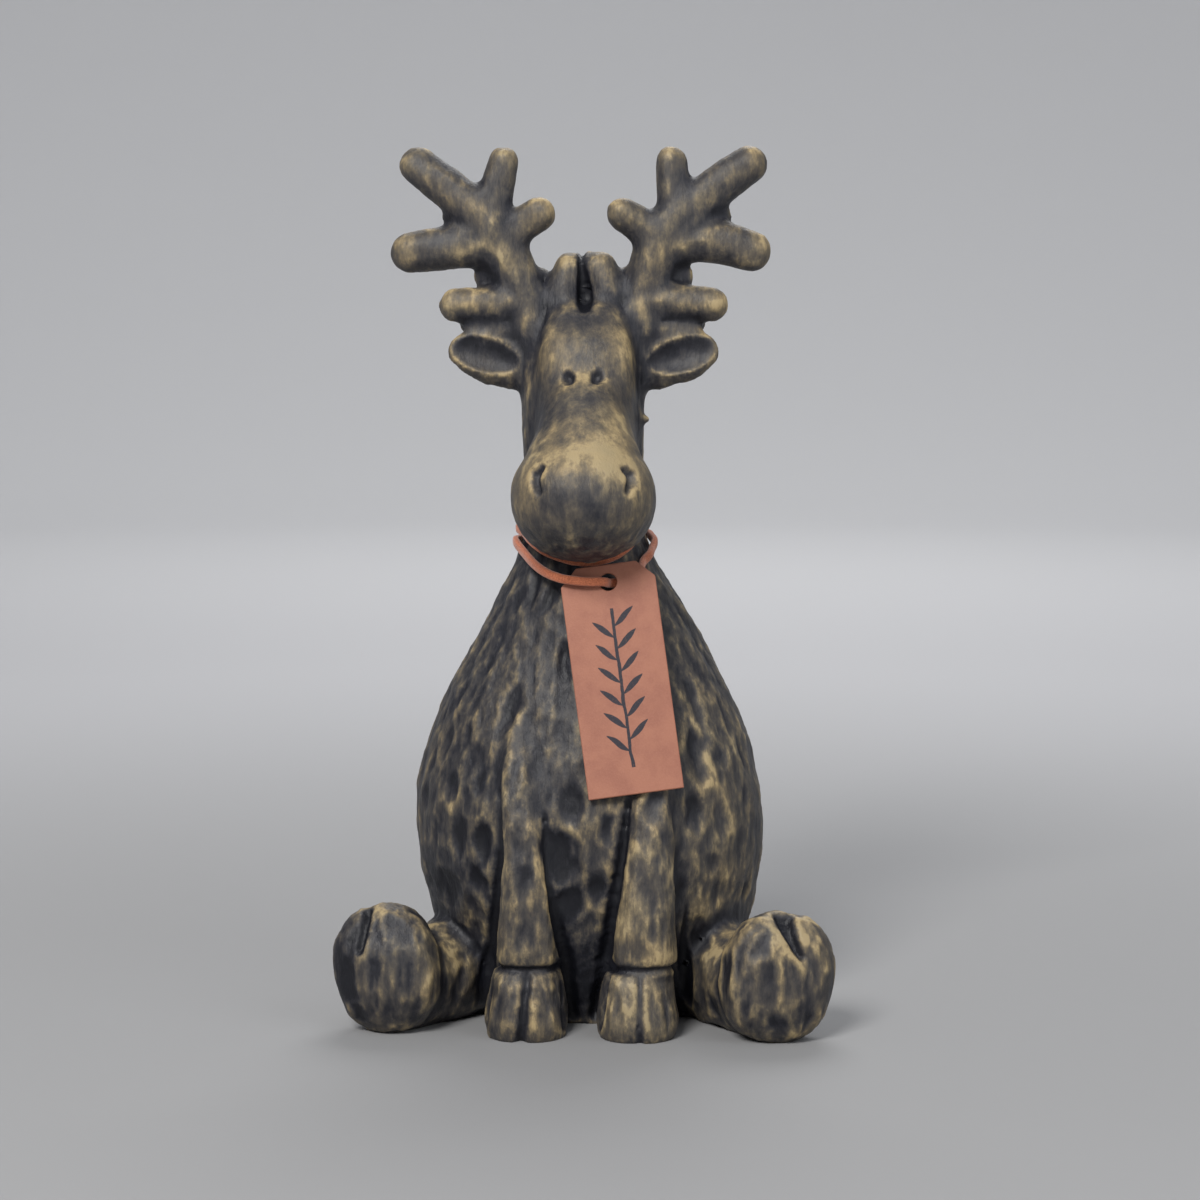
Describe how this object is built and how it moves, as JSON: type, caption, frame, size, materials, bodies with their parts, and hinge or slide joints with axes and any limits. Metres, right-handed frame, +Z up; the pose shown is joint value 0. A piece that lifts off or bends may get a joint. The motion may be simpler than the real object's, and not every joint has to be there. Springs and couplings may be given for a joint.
{
  "type": "reindeer figurine",
  "caption": "Seated reindeer figurine, cast with a gouged hand-carved look, branching antlers and splayed hind feet, with a leather tag on a suede lace round its neck.",
  "frame": {"origin": "the middle of the figure's outline on the surface that it sits on", "axes": "+Z up, -Y the way the figure faces, +X towards the viewer's right"},
  "size_m": [0.1594, 0.1089, 0.28],
  "materials": {
    "antiqued_casting": "satin, dark antiqued wood look with tan ridges and blue-black hollows",
    "lace_leather": "matt suede",
    "knot_leather": "matt suede",
    "tag_leather": "matt, with a dark painted sprig"
  },
  "bodies": {
    "root": {"reindeer": "antiqued_casting", "lace": "lace_leather", "lace_knot": "knot_leather", "tag": "tag_leather"}
  },
  "joints": []
}
